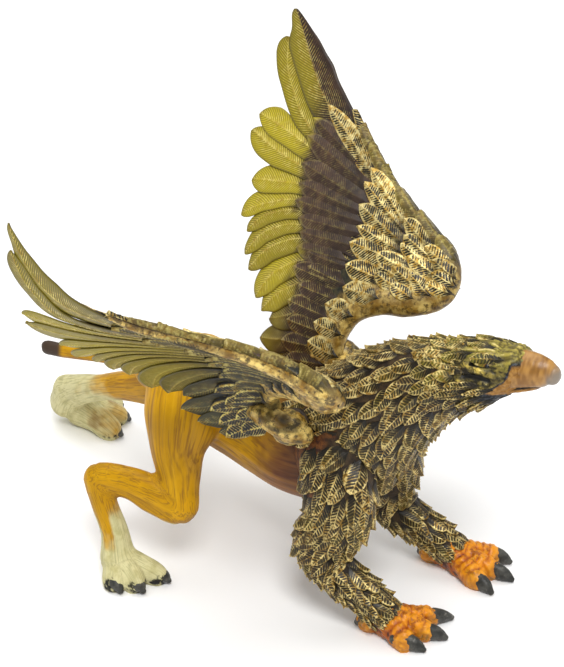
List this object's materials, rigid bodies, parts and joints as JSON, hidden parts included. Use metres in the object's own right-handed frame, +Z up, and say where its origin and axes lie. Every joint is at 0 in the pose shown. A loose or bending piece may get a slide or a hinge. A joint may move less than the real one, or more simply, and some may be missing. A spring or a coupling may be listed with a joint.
{
  "type": "toy griffin figure",
  "caption": "Moulded toy griffin standing on its own feet, crouched forward, with an eagle's feathered head and fore legs, a lion's hindquarters and raised wings.",
  "frame": {"origin": "on the floor, under the middle of the whole outline", "axes": "+Z up; the griffin looks along -Y and its left side is +X"},
  "size_m": [0.1272, 0.156, 0.1179],
  "materials": {
    "body": "painted, mustard ochre with brown wash and cream feet",
    "wing_left": "painted, dark brown with olive tips and gold drybrushing",
    "wing_right": "painted, dark brown with olive tips and gold drybrushing"
  },
  "bodies": {
    "root": {"figure": "body", "wing_left": "wing_left", "wing_right": "wing_right"}
  },
  "joints": []
}
